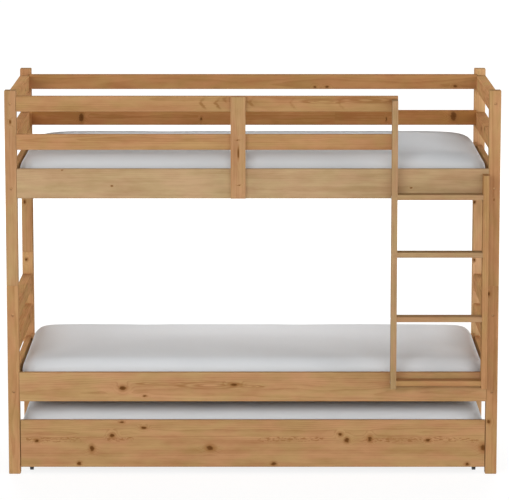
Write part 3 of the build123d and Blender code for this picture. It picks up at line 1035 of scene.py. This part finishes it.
def frame_screws(material):
    """Screws of the bed frame, driven from its hidden faces and through the ladder's sides."""
    bm = bmesh.new()
    stile_low, stile_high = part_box("guard_stile")
    tall_low, tall_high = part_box("ladder_left_upright")
    short_low, short_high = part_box("ladder_right_upright")
    tall_x = (tall_low[0] + tall_high[0]) / 2
    short_x = (short_low[0] + short_high[0]) / 2
    stile_pair = span(stile_low[0], stile_high[0], 2, stile_screw_margin)
    for rail, places in {
        "front_guard_rail_top": [*stile_pair, tall_x],
        "front_guard_rail_lower": [*stile_pair, tall_x],
        "upper_front_side_rail": [*stile_pair, tall_x, short_x],
        "lower_front_side_rail": [tall_x, short_x],
    }.items():
        low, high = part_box(rail)
        level = (low[2] + high[2]) / 2
        for x in places:
            add_screw(bm, seat_matrix((x, high[1], level), (0, 1, 0)), screw_head)
    for number in range(1, tread_count + 1):
        low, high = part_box(f"ladder_tread_{number}")
        for y in span(low[1], high[1], 2, tread_screw_margin):
            level = (low[2] + high[2]) / 2
            add_screw(bm, seat_matrix((tall_low[0], y, level), (-1, 0, 0)), screw_head)
            add_screw(bm, seat_matrix((short_high[0], y, level), (1, 0, 0)), screw_head)
    for level in ("upper", "lower"):
        for row, way in {"front": 1, "back": -1}.items():
            low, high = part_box(f"{level}_{row}_ledger")
            face = high[1] if way > 0 else low[1]
            for x in span(low[0], high[0], ledger_screw_count, ledger_screw_margin):
                add_screw(bm, seat_matrix((x, face, (low[2] + high[2]) / 2), (0, way, 0)), screw_head)
    finish_fasteners("frame_screws", bm, "bed_frame", material)


def trundle_screws(material):
    """Screws that hold the trundle's back board to its sides, and the forks' plates under them."""
    bm = bmesh.new()
    back_low, back_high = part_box("trundle_back_board")
    for side in ("left", "right"):
        low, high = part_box(f"trundle_{side}_side")
        for level in span(low[2], high[2], 2, back_board_screw_margin):
            place = ((low[0] + high[0]) / 2, back_high[1], level)
            add_screw(bm, seat_matrix(place, (0, 1, 0)), screw_head)
    for low, high in loose_boxes(nodes["caster_forks"]):
        for y in span(low[1], high[1], 2, fork_screw_margin):
            place = ((low[0] + high[0]) / 2, y, high[2] - fork_sheet)
            add_screw(bm, seat_matrix(place, (0, 0, -1)), screw_head)
    finish_fasteners("trundle_screws", bm, "trundle", material)


# Studio

def is_seen(graph):
    """1 for rays that show the studio itself: camera, glossy and transmission rays."""
    path = graph.node("ShaderNodeLightPath").outputs
    return graph.math("MAXIMUM", graph.math("MAXIMUM", path["Is Camera Ray"], path["Is Glossy Ray"]),
                      path["Is Transmission Ray"])


def add_world():
    """A white backdrop, with a faint ambient light on the bed."""
    world = bpy.data.worlds.new("studio")
    bpy.context.scene.world = world
    graph = Graph(world)
    ambient = graph.node("ShaderNodeBackground", Color=ambient_colour, Strength=ambient_strength)
    backdrop = graph.node("ShaderNodeBackground", Color=white, Strength=1.0)
    both = graph.tree.nodes.new("ShaderNodeMixShader")
    out = graph.tree.nodes.new("ShaderNodeOutputWorld")
    graph.put(both.inputs[0], is_seen(graph))
    graph.put(both.inputs[1], ambient.outputs[0])
    graph.put(both.inputs[2], backdrop.outputs[0])
    graph.put(out.inputs["Surface"], both.outputs[0])


def add_floor():
    """A pale floor, seen as white where nothing shades it."""
    bm = bmesh.new()
    bmesh.ops.create_grid(bm, x_segments=floor_squares, y_segments=floor_squares, size=floor_half_width)
    mesh = bpy.data.meshes.new("studio_floor")
    bm.to_mesh(mesh)
    bm.free()
    floor = add_object("studio_floor", mesh)
    floor.location.z = cad_low[2]
    material, graph = new_material("studio_floor")
    reach = graph.vector("LENGTH", graph.node("ShaderNodeTexCoord").outputs["Object"])
    plain = graph.node("ShaderNodeBsdfDiffuse", Color=floor_colour)
    soft = graph.node("ShaderNodeBsdfDiffuse", Color=floor_shade)
    glow = graph.fade(reach, *floor_glow_reach, floor_glow, 1.0)
    lit = graph.node("ShaderNodeEmission", Color=white, Strength=glow)
    seen = graph.tree.nodes.new("ShaderNodeAddShader")
    both = graph.tree.nodes.new("ShaderNodeMixShader")
    out = graph.tree.nodes.new("ShaderNodeOutputMaterial")
    graph.put(seen.inputs[0], soft.outputs[0])
    graph.put(seen.inputs[1], lit.outputs[0])
    graph.put(both.inputs[0], is_seen(graph))
    graph.put(both.inputs[1], plain.outputs[0])
    graph.put(both.inputs[2], seen.outputs[0])
    graph.put(out.inputs["Surface"], both.outputs[0])
    dress(floor, material)


def add_lamp(name, place, width, height, power, aim):
    light = bpy.data.lights.new(name, "AREA")
    light.shape = "RECTANGLE"
    light.size = width
    light.size_y = height
    light.energy = power
    lamp = add_object(name, light)
    lamp.visible_camera = False
    lamp.location = place
    lamp.rotation_euler = (Vector(aim) - Vector(place)).to_track_quat("-Z", "Y").to_euler()


def add_camera():
    data = bpy.data.cameras.new("camera")
    data.sensor_width = millimetres * camera_sensor
    data.lens = millimetres * camera_sensor * camera_focal_share
    data.clip_end = camera_sight
    camera = add_object("camera", data)
    camera.location = camera_place
    camera.rotation_euler = (camera_tilt, 0, 0)
    bpy.context.scene.camera = camera


def main():
    zinc = plated_steel("zinc_plated_steel", *zinc_look)
    bronze = plated_steel("bronze_plated_steel", *bronze_look)
    plastic = black_plastic()
    for seed, name in enumerate(sorted(nodes)):
        if name.endswith("_mattress"):
            continue
        if "wheel" in name:
            dress(nodes[name], plastic)
        elif name.startswith("caster_") or name == "post_pins":
            dress(nodes[name], zinc)
        elif name.endswith("_bolts"):
            dress(nodes[name], bronze)
        elif name.endswith("_slats"):
            dress_slats(name, seed)
        else:
            dress_board(name, seed)

    form = mattress_form()
    for node, choices in mattresses.items():
        add_mattress(node, form, *choices)
    add_bolts("side_rail_bolts", bronze)
    add_bolts("front_post_bolts", bronze)
    frame_screws(zinc)
    trundle_screws(zinc)

    middle = (cad_low + cad_high) / 2
    add_world()
    add_floor()
    for name, lamp in lamps.items():
        add_lamp(name, *lamp, middle)
    add_camera()
    bpy.context.scene.view_settings.view_transform = "Standard"


main()
